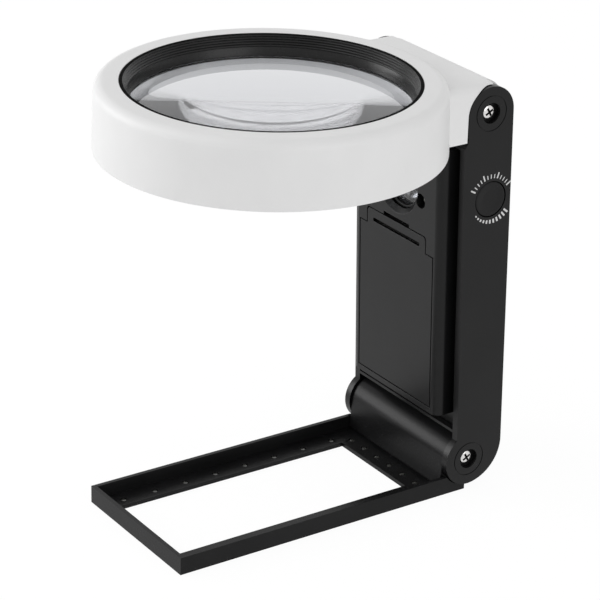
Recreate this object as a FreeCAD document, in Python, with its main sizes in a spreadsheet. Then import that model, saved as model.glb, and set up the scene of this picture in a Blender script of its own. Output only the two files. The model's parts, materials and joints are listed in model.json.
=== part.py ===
"""Folding stand magnifier with lights in its head and in its base frame.

Lengths are millimetres. +Z is up, X runs along both hinge pins and the head reaches out towards -Y.
The pieces are drawn from the base hinge axis (y = 0) and the table (z = 0). Each piece's Placement
then moves it along Y, so that the origin is on the table, below the middle of the whole object.
"""

import FreeCAD, Part
import math
import operator
import os
from types import SimpleNamespace

import Sketcher

# Driving sizes

SIZES = {
    # Gaps and overruns shared by all pieces
    "gap": 0.3,
    "fine_gap": 0.1,
    "pin_gap": 0.06,
    "overrun": 3.0,
    # Lighted base frame
    "base_inset": 1.4,
    "base_rear": 0.3,
    "base_wall": 1.7,
    "base_height": 7.0,
    "side_flange": 11.4,
    "rear_flange": 8.4,
    "front_flange": 5.0,
    "flange_top": 1.65,
    "flange_plate": 0.75,
    "strip_board": 0.4,
    "groove_rim": 0.9,
    "groove_start": 1.3,
    "strip_led_radius": 1.1,
    "strip_led_height": 0.7,
    "side_led_inset": 5.8,
    "side_led_start": 2.7,
    "side_led_end": 3.4,
    "rear_led_inset": 4.8,
    # Base hinge
    "heel_lift": 2.8,
    "barrel_radius": 9.8,
    "apron_lip_reach": 1.1,
    "apron_lip_z": 3.4,
    "apron_lip_height": 0.7,
    "apron_undercut": 1.2,
    "wall_arc_gap": 0.4,
    # Arm shell, drawn upright and then leaned forward about the base hinge
    "cheek": 3.1,
    "lean_forward": 4.13,
    "heel_wall": 1.0,
    "heel_growth": 5.2,
    "heel_back_shift": 0.5,
    "back_lean": 0.63,
    "rim_gap": 0.78,
    "fold_gap": 0.4,
    "back_wall": 2.2,
    "cradle_y": 3.0,
    "cradle_clear": 2.0,
    "cradle_plate": 1.2,
    "heel_opening": 4.0,
    "web_gap": 0.8,
    "web": 2.3,
    "web_clear": 0.89,
    "hinge_mark_radius": 7.0,
    "hinge_mark_width": 0.4,
    "hinge_mark_depth": 0.25,
    # Journals inside the lower ears
    "journal_radius": 6.6,
    "journal_length": 3.0,
    # Head hinge
    "ear_radius": 10.3,
    "ear": 5.8,
    "washer_room": 0.6,
    # Battery housing inside the arm
    "housing_plate": 1.5,
    "plate_front": 3.0,
    "side_groove": 3.2,
    "side_room": 5.55,
    "box_corner": 2.2,
    "box_wall": 1.6,
    "box_sill": 5.6,
    "box_head": 5.3,
    "tub_wall": 1.6,
    "bay_sill": 2.2,
    "post_radius": 2.4,
    "post_from_bottom": 7.8,
    "post_from_top": 7.0,
    # Batteries and their contacts
    "cell_radius": 7.25,
    "cell_length": 49.5,
    "cell_pitch": 14.6,
    "cell_nub_radius": 2.7,
    "cell_nub": 1.0,
    "contact_plate": 0.5,
    "contact_width": 11.0,
    "spring_wide": 4.2,
    "spring_narrow": 2.6,
    "spring_length": 8.5,
    # Battery door
    "door_lap": 1.25,
    "door_sill": 2.5,
    "door_head": 0.8,
    "door_tab": 6.7,
    "door_step": 4.7,
    "door_corner": 1.6,
    "door_plate": 1.6,
    "door_gap": 0.2,
    "grip_drop": 4.1,
    "grip_inset": 3.8,
    "grip_height": 1.5,
    "grip_depth": 0.8,
    "finger_half_length": 8.2,
    "finger_height": 1.3,
    # Small lens in the arm
    "eye_gap": 2.2,
    "eye_radius": 11.2,
    "eye_edge": 1.8,
    "eye_bulge": 2.0,
    "eye_depth": 2.4,
    "eye_shoulder": 0.9,
    "eye_tube_wall": 1.5,
    "eye_flare": 1.9,
    "eye_ring": 1.2,
    "eye_ring_width": 0.9,
    "spot_step": 1.9,
    "spot_drop": 3.4,
    "spot_radius": 1.5,
    "spot_rim": 1.4,
    "spot_depth": 4.2,
    "spot_wall": 1.0,
    # Power button and its switch
    "button_clear": 0.48,
    "button_drop": 0.35,
    "button_radius": 6.85,
    "button_flange": 0.8,
    "button_flange_depth": 0.8,
    "button_stem_radius": 2.5,
    "button_stem": 2.4,
    "button_travel": 0.8,
    "plunger_radius": 1.7,
    "plunger_length": 1.35,
    "plunger_sunk": 0.4,
    "switch_side": 6.2,
    "switch_depth": 3.5,
    "switch_bore_depth": 1.4,
    "board_thickness": 1.2,
    "board_clear": 1.4,
    "board_height": 19.0,
    # Head ring
    "neck_length": 7.7,
    "head_radius": 64.9,
    "head_draft": 0.6,
    "head_round": 4.0,
    "head_wall": 2.0,
    "rim_width": 9.9,
    "rim_lip": 1.2,
    "rim_seat": 1.5,
    "inner_wall": 1.6,
    # Neck between the ring and the head hinge
    "neck_radius": 9.8,
    "neck_lip": 0.6,
    "neck_drop": 4.2,
    "neck_round": 4.0,
    "neck_top_back": 1.5,
    "neck_back_radius": 10.5,
    "neck_overlap": 16.6,
    "neck_wall": 2.4,
    "neck_side_wall": 5.0,
    "neck_end_wall": 5.0,
    "neck_pocket_lap": 2.9,
    # Lens stack in the head
    "baffle_foot_in": 4.05,
    "baffle_top_in": 1.35,
    "baffle_height": 8.0,
    "rib_pitch": 0.9,
    "rib_depth": 0.35,
    "lens_edge": 3.0,
    "lens_bulge": 6.0,
    "clamp_ledge": 0.25,
    "clamp_ring_height": 2.3,
    # Head cover and light ring
    "cover_ledge": 0.55,
    "cover_plate": 1.6,
    "collar_wall": 1.5,
    "ring_board_lift": 2.0,
    "ring_board": 1.2,
    "ring_led_radius": 1.6,
    "cover_boss_radius": 2.6,
    "cover_screw_radius": 1.0,
    "cover_screw_length": 9.0,
    "cover_screw_head": 1.9,
    "cover_screw_head_height": 0.9,
    # Fasteners
    "pivot_radius": 1.5,
    "pivot_head_radius": 2.75,
    "pivot_head_height": 1.1,
    "pivot_sink_radius": 4.0,
    "pivot_sink_depth": 2.4,
    "insert_radius": 2.5,
    "insert_length": 6.0,
    "washer_radius": 6.0,
    "arm_screw_radius": 1.0,
    "arm_screw_head": 2.2,
    "arm_screw_head_height": 1.1,
    "arm_screw_sink": 2.5,
    "arm_screw_length": 11.0,
    "cross_width": 0.7,
    "cross_length": 3.2,
    "cross_depth": 0.9,
}

SIDE_LEDS = 8
REAR_LEDS = 6
RING_LEDS = 18
BAFFLE_RIBS = 6
COVER_SCREW_ANGLES = (50, 130, 230, 310)
STANDOFF_ANGLES = (30, 150, 210, 330)
FULL_TURN = 360

doc = FreeCAD.newDocument("StandMagnifier")
sheet = doc.addObject("Spreadsheet::Sheet", "Sizes")
for row, (alias, number) in enumerate(SIZES.items(), start=1):
    sheet.set(f"A{row}", alias)
    sheet.set(f"B{row}", str(number))
    sheet.setAlias(f"B{row}", alias)
doc.recompute()


# Sizes that carry their formula

OPERATIONS = {"+": operator.add, "-": operator.sub, "*": operator.mul, "/": operator.truediv}


class Size:
    """A number together with the sheet formula that gives it."""

    def __init__(self, value, formula=None):
        self.value = float(value)
        self.formula = formula or str(value)

    def __add__(self, other):
        return combine(self, "+", other)

    def __radd__(self, other):
        return combine(other, "+", self)

    def __sub__(self, other):
        return combine(self, "-", other)

    def __rsub__(self, other):
        return combine(other, "-", self)

    def __mul__(self, other):
        return combine(self, "*", other)

    def __rmul__(self, other):
        return combine(other, "*", self)

    def __truediv__(self, other):
        return combine(self, "/", other)

    def __neg__(self):
        return Size(-self.value, f"(-{self.formula})")

    def root(self):
        return Size(math.sqrt(self.value), f"sqrt({self.formula})")


def as_size(number):
    return number if isinstance(number, Size) else Size(number)


def combine(left, sign, right):
    left = as_size(left)
    right = as_size(right)
    value = OPERATIONS[sign](left.value, right.value)
    return Size(value, f"({left.formula} {sign} {right.formula})")


def leg(hypotenuse, other_leg):
    """The third side of a right triangle."""
    return (hypotenuse * hypotenuse - other_leg * other_leg).root()


def angle_of_sine(sine):
    """The angle in degrees whose sine is given."""
    return Size(math.degrees(math.asin(sine.value)), f"asin({sine.formula})")


def bind(thing, path, size):
    thing.setExpression(path, as_size(size).formula)


d = SimpleNamespace(**{alias: Size(number, f"Sizes.{alias}") for alias, number in SIZES.items()})

# Sketches and features

NORMAL_SIGN = {"XY": 1, "XZ": -1, "YZ": 1}
parts = []


def part(label, set_down, *places):
    """A PartDesign body that set_down puts in its place: level or leaned."""
    body = doc.addObject("PartDesign::Body", label)
    body.Label = label
    set_down(body, *places)
    parts.append(body)
    return body


def level(thing, y=0):
    """Place a piece of the base or of the head."""
    bind(thing, "Placement.Base.y", origin_shift + y)


def leaned(thing):
    """Place a piece of the arm, which leans forward about the base hinge."""
    thing.Placement = FreeCAD.Placement(FreeCAD.Vector(), FreeCAD.Rotation(FreeCAD.Vector(1, 0, 0), lean.value))
    bind(thing, "Placement.Rotation.Angle", lean)
    bind(thing, "Placement.Base.y", origin_shift + hinge_z * lean_sine)
    bind(thing, "Placement.Base.z", hinge_z - hinge_z * lean_cosine)


def origin_item(body, role):
    return next(item for item in body.Origin.OriginFeatures if item.Role == role)


def circle(u, v, radius):
    return {"centre": (u, v), "radius": radius}


def arc(radius, side):
    """An arc to the next corner; side is 1 when it turns left on its way and -1 when it turns right."""
    return {"arc": radius, "side": side}


def rectangle(u0, v0, u1, v1):
    return [(u0, v0), (u1, v0), (u1, v1), (u0, v1)]


def hold(sketch, geometry, point, axis, size):
    """Fix one coordinate of a sketch point to its size."""
    if not isinstance(size, Size):
        sketch.addConstraint(Sketcher.Constraint("PointOnObject", geometry, point, -2 if axis == "X" else -1))
        return
    rule = Sketcher.Constraint("Distance" + axis, -1, 1, geometry, point, size.value)
    index = sketch.addConstraint(rule)
    bind(sketch, f"Constraints[{index}]", size)


def draw_circle(sketch, outline):
    u, v = (as_size(number).value for number in outline["centre"])
    centre = FreeCAD.Vector(u, v, 0)
    ring = Part.Circle(centre, FreeCAD.Vector(0, 0, 1), outline["radius"].value)
    geometry = sketch.addGeometry(ring, False)
    hold(sketch, geometry, 3, "X", outline["centre"][0])
    hold(sketch, geometry, 3, "Y", outline["centre"][1])
    index = sketch.addConstraint(Sketcher.Constraint("Radius", geometry, outline["radius"].value))
    bind(sketch, f"Constraints[{index}]", outline["radius"])


def arc_between(start, end, radius, side):
    """A circular arc of under half a turn from start to end, as sketch geometry."""
    chord = end - start
    middle = (start + end) * 0.5
    left = FreeCAD.Vector(-chord.y, chord.x, 0).normalize()
    centre = middle + left * (side * math.sqrt(radius**2 - (chord.Length / 2) ** 2))
    first, last = (start, end) if side > 0 else (end, start)
    angles = [math.atan2(point.y - centre.y, point.x - centre.x) for point in (first, last)]
    if angles[1] < angles[0]:
        angles[1] += 2 * math.pi
    ring = Part.Circle(centre, FreeCAD.Vector(0, 0, 1), radius)
    return Part.ArcOfCircle(ring, angles[0], angles[1])


def draw_outline(sketch, outline):
    """A closed outline of lines and arcs, with every corner held at its own sizes."""
    corners = []
    bends = {}
    for item in outline:
        if isinstance(item, tuple):
            corners.append(item)
        else:
            bends[len(corners) - 1] = item
    points = [FreeCAD.Vector(as_size(u).value, as_size(v).value, 0) for u, v in corners]
    count = len(points)
    ends = []
    for i in range(count):
        start = points[i]
        end = points[(i + 1) % count]
        bend = bends.get(i)
        if bend is None:
            geometry = sketch.addGeometry(Part.LineSegment(start, end), False)
            ends.append((geometry, 1, 2))
            continue
        curve = arc_between(start, end, bend["arc"].value, bend["side"])
        geometry = sketch.addGeometry(curve, False)
        ends.append((geometry, 1, 2) if bend["side"] > 0 else (geometry, 2, 1))
        index = sketch.addConstraint(Sketcher.Constraint("Radius", geometry, bend["arc"].value))
        bind(sketch, f"Constraints[{index}]", bend["arc"])
    for i in range(count):
        here, _, leaving = ends[i]
        following, arriving, _ = ends[(i + 1) % count]
        sketch.addConstraint(Sketcher.Constraint("Coincident", here, leaving, following, arriving))
    for i, (u, v) in enumerate(corners):
        geometry, first, _ = ends[i]
        hold(sketch, geometry, first, "X", u)
        hold(sketch, geometry, first, "Y", v)


def sketch_on(body, plane, offset, outlines):
    sketch = body.newObject("Sketcher::SketchObject", "Outline")
    sketch.AttachmentSupport = (origin_item(body, plane + "_Plane"), [""])
    sketch.MapMode = "FlatFace"
    bind(sketch, "AttachmentOffset.Base.z", offset)
    for outline in outlines:
        if isinstance(outline, dict):
            draw_circle(sketch, outline)
        else:
            draw_outline(sketch, outline)
    return sketch


def prism(kind, body, plane, low, high, outlines):
    offset = low if NORMAL_SIGN[plane] > 0 else -as_size(high)
    feature = body.newObject("PartDesign::" + kind, kind)
    feature.Profile = sketch_on(body, plane, offset, outlines)
    bind(feature, "Length", high - low)
    feature.Reversed = kind == "Pocket"
    return feature


def add(body, plane, low, high, *outlines):
    """Material between two planes, low to high along the axis across the sketch plane."""
    return prism("Pad", body, plane, low, high, outlines)


def cut(body, plane, low, high, *outlines):
    """A hole between two planes; it has to take material away."""
    doc.recompute()
    before = body.Shape.Volume
    feature = prism("Pocket", body, plane, low, high, outlines)
    doc.recompute()
    if not body.Shape.Volume < before:
        raise RuntimeError(f"{body.Label}: {feature.Label} cuts nothing")
    return feature


def turn(kind, body, plane, offset, outline):
    feature = body.newObject("PartDesign::" + kind, kind)
    sketch = sketch_on(body, plane, offset, [outline])
    feature.Profile = sketch
    feature.ReferenceAxis = (sketch, ["V_Axis"])
    feature.Angle = FULL_TURN
    return feature


def pattern(body, feature, count):
    """Repeat a feature round the body's own Z axis."""
    ring = body.newObject("PartDesign::PolarPattern", "Pattern")
    ring.Originals = [feature]
    ring.Axis = (origin_item(body, "Z_Axis"), [""])
    ring.Angle = FULL_TURN
    ring.Occurrences = count
    body.Tip = ring
    return ring


def polar(radius, degrees):
    angle = math.radians(degrees)
    return radius * round(math.cos(angle), 9), radius * round(math.sin(angle), 9)


# Primitives for small repeated pieces

AXIS_TURN = {
    "X": FreeCAD.Rotation(FreeCAD.Vector(0, 1, 0), 90),
    "Y": FreeCAD.Rotation(FreeCAD.Vector(1, 0, 0), -90),
    "Z": FreeCAD.Rotation(),
    "-X": FreeCAD.Rotation(FreeCAD.Vector(0, 1, 0), -90),
    "-Y": FreeCAD.Rotation(FreeCAD.Vector(1, 0, 0), 90),
    "-Z": FreeCAD.Rotation(FreeCAD.Vector(1, 0, 0), 180),
}


def rod(radius, length, x, y, z, axis="Z"):
    thing = doc.addObject("Part::Cylinder", "Rod")
    thing.Placement = FreeCAD.Placement(FreeCAD.Vector(), AXIS_TURN[axis])
    bind(thing, "Radius", radius)
    bind(thing, "Height", length)
    set_base(thing, x, y, z)
    return thing


def cone(radius, end_radius, length, x, y, z, axis="Z"):
    thing = doc.addObject("Part::Cone", "Cone")
    thing.Placement = FreeCAD.Placement(FreeCAD.Vector(), AXIS_TURN[axis])
    bind(thing, "Radius1", radius)
    bind(thing, "Radius2", end_radius)
    bind(thing, "Height", length)
    set_base(thing, x, y, z)
    return thing


def block(x0, y0, z0, x1, y1, z1):
    thing = doc.addObject("Part::Box", "Block")
    bind(thing, "Length", x1 - x0)
    bind(thing, "Width", y1 - y0)
    bind(thing, "Height", z1 - z0)
    set_base(thing, x0, y0, z0)
    return thing


def set_base(thing, x, y, z):
    bind(thing, "Placement.Base.x", x)
    bind(thing, "Placement.Base.y", y)
    bind(thing, "Placement.Base.z", z)


def fused(*things):
    union = doc.addObject("Part::MultiFuse", "Union")
    union.Shapes = list(things)
    return union


def less(base, *tools):
    tool = tools[0] if len(tools) == 1 else fused(*tools)
    result = doc.addObject("Part::Cut", "Difference")
    result.Base = base
    result.Tool = tool
    return result


def group(label, things, set_down, *places):
    """Separate equal solids that make one sub-part."""
    bundle = doc.addObject("Part::Compound", label)
    bundle.Label = label
    bundle.Links = list(things)
    set_down(bundle, *places)
    parts.append(bundle)
    return bundle


# Places that several pieces share

# Across the arm, from the cells in its middle to the base frame that folds over it
bay_half_width = d.cell_pitch + d.cell_radius + 2 * d.gap
box_half_width = bay_half_width + d.side_room
cheek_inner = box_half_width + d.side_groove
arm_half_width = cheek_inner + d.cheek
housing_half_width = cheek_inner - d.gap
post_x = box_half_width
ear_inner = arm_half_width - d.ear
neck_half_length = ear_inner - d.washer_room
door_half_width = bay_half_width + d.door_lap
door_tab_half_width = door_half_width - d.door_step
grip_half_length = door_tab_half_width - d.grip_inset
base_half_width = arm_half_width - d.base_inset
base_inner = base_half_width - d.base_wall
window_half_width = base_half_width - d.side_flange
side_led_x = base_inner - d.side_led_inset
rear_led_pitch = 2 * window_half_width / (REAR_LEDS - 1)

# Round the base hinge
heel_radius = d.barrel_radius + d.heel_wall
heel_back_radius = heel_radius + d.heel_growth
hinge_z = heel_radius + d.heel_lift
apron_lip_y = d.barrel_radius + d.apron_lip_reach
groove_rear = apron_lip_y + d.groove_start
window_rear = groove_rear + d.rear_flange
side_led_first = window_rear + d.side_led_start
rear_led_y = window_rear - d.rear_led_inset
arm_back = heel_back_radius - d.heel_back_shift
arm_front = hinge_z - d.base_height - d.rim_gap
box_front = hinge_z - d.flange_top - d.gap
head_hinge_y = arm_back + d.back_lean - d.ear_radius

# Up the arm, from the base hinge to the head hinge
cradle_bottom_z = hinge_z + d.barrel_radius + d.cradle_clear
cradle_top_z = cradle_bottom_z + d.cradle_plate
box_bottom_z = cradle_top_z + d.box_sill
post_low_z = box_bottom_z + d.post_from_bottom
door_bottom_z = box_bottom_z + d.door_sill
bay_bottom_z = door_bottom_z + d.bay_sill
bay_low = bay_bottom_z + d.contact_plate
bay_high = bay_low + d.cell_length + d.cell_nub + d.spring_length
bay_top_z = bay_high + d.contact_plate
door_step_z = bay_top_z + d.door_head
door_top_z = door_step_z + d.door_tab
grip_z = door_top_z - d.grip_drop
eye_bore = d.eye_radius + d.door_gap
eye_tube_radius = eye_bore + d.eye_flare + d.eye_tube_wall
eye_z = door_top_z + eye_tube_radius + d.eye_gap
spot_x = eye_bore + d.eye_flare + d.spot_step
spot_z = eye_z - d.spot_drop
box_top_z = eye_z + eye_tube_radius + d.box_head
post_high_z = box_top_z - d.post_from_top
base_length = box_top_z + d.fold_gap + d.base_wall - hinge_z
cheek_top_z = hinge_z + base_length - d.fine_gap
web_bottom_z = box_top_z + d.web_gap
web_top_z = web_bottom_z + d.web
head_hinge_z = web_top_z + d.web_clear + d.neck_radius
shoulder_z = head_hinge_z - d.neck_radius
window_front = base_length - d.base_wall - d.front_flange
side_led_pitch = (window_front - d.side_led_end - side_led_first) / (SIDE_LEDS - 1)

# The lean
lean_sine = d.lean_forward / (head_hinge_z - hinge_z)
lean_cosine = leg(Size(1), lean_sine)
lean = angle_of_sine(lean_sine)


def lean_point(y, z):
    """Where a point of the upright arm comes to lie once the arm leans."""
    rise = z - hinge_z
    return y * lean_cosine - rise * lean_sine, hinge_z + rise * lean_cosine + y * lean_sine


def bulge_radius(edge_radius, bulge):
    """The sphere that rises by the bulge over the edge circle."""
    return (edge_radius * edge_radius + bulge * bulge) / (2 * bulge)


def lens_rise(edge_radius, bulge, radius):
    """How far a lens face stands above its own edge at some radius."""
    sphere = bulge_radius(edge_radius, bulge)
    return leg(sphere, radius) - sphere + bulge


ear_front = head_hinge_y - d.ear_radius
ear_back = head_hinge_y + d.ear_radius
heel_back_y = arm_back - heel_back_radius
heel_back_z = hinge_z + leg(heel_back_radius - heel_radius, heel_back_y)
head_axis_y, head_axis_z = lean_point(head_hinge_y, head_hinge_z)
arm_rear = lean_point(heel_back_y, heel_back_z)[0] + heel_back_radius
head_reach = d.head_radius + d.neck_length
origin_shift = (head_reach + d.head_radius - arm_rear) / 2
head_bottom_z = head_axis_z - d.neck_radius
neck_top_z = head_axis_z + d.ear_radius + d.gap + d.neck_lip
head_top_z = neck_top_z + d.neck_drop
rim_radius = d.head_radius - d.rim_width
head_bore = rim_radius + d.rim_seat
baffle_foot_radius = rim_radius - d.baffle_foot_in
baffle_top_radius = rim_radius - d.baffle_top_in
baffle_bottom_z = head_top_z - d.baffle_height
clamp_ring_inner = baffle_foot_radius + d.clamp_ledge
cover_inner = baffle_foot_radius + d.cover_ledge
ring_led_circle = (cover_inner + d.collar_wall + d.head_radius - d.head_wall) / 2
cover_screw_circle = d.head_radius - d.head_wall - d.cover_boss_radius - d.fine_gap

box_front_y = -box_front
plate_front_y = -d.plate_front
plate_back_y = plate_front_y + d.housing_plate
door_back_y = box_front_y + d.door_plate
cell_y = door_back_y + d.gap + d.cell_radius
bay_back_y = cell_y + d.cell_radius + d.gap
eye_front_y = box_front_y + d.eye_depth
pivot_seat = arm_half_width - d.pivot_sink_depth
barrel_half_length = cheek_inner - 2 * d.gap
journal_face = cheek_inner - d.journal_length
journal_floor = journal_face - 2 * d.gap
button_y = plate_back_y + d.button_radius + d.button_flange + d.button_clear
button_z = eye_z - d.button_drop
button_face = arm_half_width - d.pin_gap
button_flange_front = cheek_inner - d.door_gap
button_flange_back = button_flange_front - d.button_flange_depth
stem_end = button_flange_back - d.button_stem
plunger_tip = stem_end - d.pin_gap
switch_front = plunger_tip - d.plunger_length + d.plunger_sunk
switch_back = switch_front - d.switch_depth
board_back = switch_back - d.board_thickness
lens_radius = head_bore - d.gap
lens_top_z = baffle_bottom_z - d.fine_gap - lens_rise(lens_radius, d.lens_bulge, baffle_foot_radius)
lens_bottom_z = lens_top_z - d.lens_edge
clamp_top_z = lens_bottom_z - d.fine_gap - lens_rise(lens_radius, d.lens_bulge, clamp_ring_inner)
clamp_bottom_z = clamp_top_z - d.clamp_ring_height
cover_top_z = head_bottom_z + d.cover_plate
ring_board_z = cover_top_z + d.ring_board_lift
neck_axis_y = head_reach + head_axis_y
groove_top_z = d.flange_top - d.flange_plate


def back_face_y(z):
    """The arm's outer back face, which leans from the heel to the ear."""
    share = (z - heel_back_z) / (head_hinge_z - heel_back_z)
    return arm_back + (ear_back - arm_back) * share


# Head

def head_part(label):
    return part(label, level, -head_reach)


def make_head_housing():
    body = head_part("head_housing")
    shoulder = d.head_radius - d.head_draft
    top_edge = shoulder - d.head_round
    turn("Revolution", body, "XZ", 0, [
        (0, head_bottom_z),
        (d.head_radius, head_bottom_z),
        (shoulder, head_top_z - d.head_round),
        arc(d.head_round, 1),
        (top_edge, head_top_z),
        (0, head_top_z),
    ])
    neck_start = d.head_radius - d.neck_overlap
    add(body, "YZ", -neck_half_length, neck_half_length, [
        (neck_start, head_bottom_z),
        (neck_axis_y, head_bottom_z),
        arc(d.neck_radius, 1),
        (neck_axis_y + d.neck_radius, head_axis_z),
        arc(d.neck_back_radius, 1),
        (neck_axis_y + d.neck_top_back, neck_top_z),
        (neck_start, neck_top_z),
    ])
    tip_y = neck_axis_y + d.neck_top_back
    side_top = arm_half_width - d.neck_round
    add(body, "XZ", neck_start, tip_y, [
        (-arm_half_width, head_bottom_z),
        (arm_half_width, head_bottom_z),
        (arm_half_width, neck_top_z - d.neck_round),
        arc(d.neck_round, 1),
        (side_top, neck_top_z),
        (-side_top, neck_top_z),
        arc(d.neck_round, 1),
        (-arm_half_width, neck_top_z - d.neck_round),
    ])
    ear_clear = d.ear_radius + d.gap
    behind = tip_y + d.overrun
    below = head_bottom_z - d.overrun
    tip_z = head_axis_z + leg(ear_clear, d.neck_top_back)
    outside = arm_half_width + d.overrun
    for low, high in ((neck_half_length, outside), (-outside, -neck_half_length)):
        cut(body, "YZ", low, high, [
            (neck_axis_y - ear_clear, below),
            (behind, below),
            (behind, tip_z),
            (tip_y, tip_z),
            arc(ear_clear, 1),
            (neck_axis_y - ear_clear, head_axis_z),
        ])
    seat_z = head_top_z - d.rim_lip
    turn("Groove", body, "XZ", 0, [
        (0, head_bottom_z - d.overrun),
        (head_bore, head_bottom_z - d.overrun),
        (head_bore, seat_z),
        (rim_radius, seat_z),
        (rim_radius, head_top_z + d.overrun),
        (0, head_top_z + d.overrun),
    ])
    inner = head_bore + d.inner_wall
    roof_z = head_top_z - d.head_wall
    turn("Groove", body, "XZ", 0, [
        (inner, head_bottom_z - d.overrun),
        (d.head_radius - d.head_wall, head_bottom_z - d.overrun),
        (shoulder - d.head_wall, head_top_z - d.head_round),
        arc(d.head_round - d.head_wall, 1),
        (top_edge, roof_z),
        (inner, roof_z),
    ])
    turn("Groove", body, "XZ", 0, [
        (head_bore - d.overrun, head_bottom_z - d.overrun),
        (inner + d.fine_gap, head_bottom_z - d.overrun),
        (inner + d.fine_gap, clamp_bottom_z),
        (head_bore - d.overrun, clamp_bottom_z),
    ])
    pocket_half = neck_half_length - d.neck_side_wall
    pocket_start = d.head_radius - d.head_wall - d.neck_pocket_lap
    cut(body, "XY", head_bottom_z - d.overrun, neck_top_z - d.neck_wall,
        rectangle(-pocket_half, pocket_start, pocket_half, neck_axis_y - d.neck_end_wall))
    for angle in COVER_SCREW_ANGLES:
        x, y = polar(cover_screw_circle, angle)
        add(body, "XY", cover_top_z, roof_z, circle(x, y, d.cover_boss_radius))
        cut(body, "XY", cover_top_z - d.overrun, cover_top_z + d.cover_screw_length,
            circle(x, y, d.cover_screw_radius))
    insert_start = neck_half_length - d.insert_length
    for low, high in ((insert_start, neck_half_length + d.overrun),
                      (-neck_half_length - d.overrun, -insert_start)):
        cut(body, "YZ", low, high, circle(neck_axis_y, head_axis_z, d.insert_radius))


def make_baffle_ring():
    """Black cone above the lens, with fine ribs round its upper band."""
    body = head_part("baffle_ring")
    top_z = head_top_z
    slope = (baffle_top_radius - baffle_foot_radius) / (top_z - baffle_bottom_z)
    ribs = []
    for i in range(BAFFLE_RIBS):
        z = top_z - d.rib_pitch * (i + 1)
        crest = baffle_foot_radius + slope * (z - baffle_bottom_z)
        ribs += [
            (crest + d.rib_depth, z + d.rib_pitch / 2),
            (crest, z + d.rib_pitch / 2),
            (crest, z),
        ]
    collar = rim_radius - d.door_gap
    seat_z = head_top_z - d.rim_lip - d.fine_gap
    turn("Revolution", body, "XZ", 0, [
        (baffle_foot_radius, baffle_bottom_z),
        (lens_radius, baffle_bottom_z),
        (lens_radius, seat_z),
        (collar, seat_z),
        (collar, top_z),
        (baffle_top_radius + d.rib_depth, top_z),
        *ribs,
    ])


def make_main_lens():
    body = head_part("main_lens")
    sphere = bulge_radius(lens_radius, d.lens_bulge)
    turn("Revolution", body, "XZ", 0, [
        (0, lens_bottom_z - d.lens_bulge),
        arc(sphere, 1),
        (lens_radius, lens_bottom_z),
        (lens_radius, lens_top_z),
        arc(sphere, 1),
        (0, lens_top_z + d.lens_bulge),
    ])


def make_lens_clamp_ring():
    body = head_part("lens_clamp_ring")
    add(body, "XY", clamp_bottom_z, clamp_top_z,
        circle(0, 0, lens_radius), circle(0, 0, clamp_ring_inner))


def make_head_bottom_cover():
    body = head_part("head_bottom_cover")
    outer = d.head_radius - d.head_wall - d.gap
    collar_top = clamp_bottom_z - d.fine_gap
    add(body, "XY", head_bottom_z, cover_top_z, circle(0, 0, outer))
    pocket_half = neck_half_length - d.neck_side_wall - d.gap
    add(body, "XY", head_bottom_z, cover_top_z,
        rectangle(-pocket_half, cover_inner, pocket_half, neck_axis_y - d.neck_end_wall - d.gap))
    add(body, "XY", cover_top_z, collar_top, circle(0, 0, cover_inner + d.collar_wall))
    cut(body, "XY", head_bottom_z - d.overrun, collar_top + d.overrun, circle(0, 0, cover_inner))
    for angle in STANDOFF_ANGLES:
        x, y = polar(ring_led_circle, angle)
        add(body, "XY", cover_top_z, ring_board_z, circle(x, y, d.cover_screw_radius))
    for angle in COVER_SCREW_ANGLES:
        x, y = polar(cover_screw_circle, angle)
        cut(body, "XY", head_bottom_z - d.overrun, cover_top_z + d.overrun,
            circle(x, y, d.cover_screw_radius + d.fine_gap))
        cut(body, "XY", head_bottom_z - d.overrun, head_bottom_z + d.cover_screw_head_height,
            circle(x, y, d.cover_screw_head + d.fine_gap))
    hole = cut(body, "XY", head_bottom_z - d.overrun, cover_top_z + d.overrun,
               circle(ring_led_circle, 0, d.ring_led_radius + d.door_gap))
    pattern(body, hole, RING_LEDS)


def make_ring_board():
    body = head_part("head_led_board")
    outer = d.head_radius - d.head_wall - d.gap - d.fine_gap
    inner = cover_inner + d.collar_wall + d.gap
    holes = [circle(*polar(cover_screw_circle, angle), d.cover_boss_radius + d.gap)
             for angle in COVER_SCREW_ANGLES]
    add(body, "XY", ring_board_z, ring_board_z + d.ring_board, circle(0, 0, outer), circle(0, 0, inner))
    for hole in holes:
        cut(body, "XY", ring_board_z - d.overrun, ring_board_z + d.ring_board + d.overrun, hole)


def make_head_leds():
    """Domed light-emitting diodes that point down through the cover."""
    body = head_part("head_leds")
    dome_start = head_bottom_z + d.cover_plate / 2
    led = add(body, "XY", dome_start, ring_board_z, circle(ring_led_circle, 0, d.ring_led_radius))
    pattern(body, led, RING_LEDS)


def cover_screw(angle):
    x, y = polar(cover_screw_circle, angle)
    seat = head_bottom_z + d.cover_screw_head_height
    bottom = head_bottom_z + d.fine_gap
    head = rod(d.cover_screw_head, seat - bottom, x, y, bottom)
    shank = rod(d.cover_screw_radius, d.cover_screw_length - d.gap, x, y, seat)
    return fused(head, shank)


def make_head_cover_screws():
    group("head_cover_screws", [cover_screw(angle) for angle in COVER_SCREW_ANGLES],
          level, -head_reach)


# Hinge hardware, the same at both hinges

def cross_slots(x, y, z, side):
    """Two crossed slots in the outer face of a pivot screw's head."""
    deep = x - side * d.cross_depth
    low, high = (deep, x + d.overrun) if side > 0 else (x - d.overrun, deep)
    return [
        block(low, y - d.cross_width / 2, z - d.cross_length / 2, high, y + d.cross_width / 2,
              z + d.cross_length / 2),
        block(low, y - d.cross_length / 2, z - d.cross_width / 2, high, y + d.cross_length / 2,
              z + d.cross_width / 2),
    ]


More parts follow.
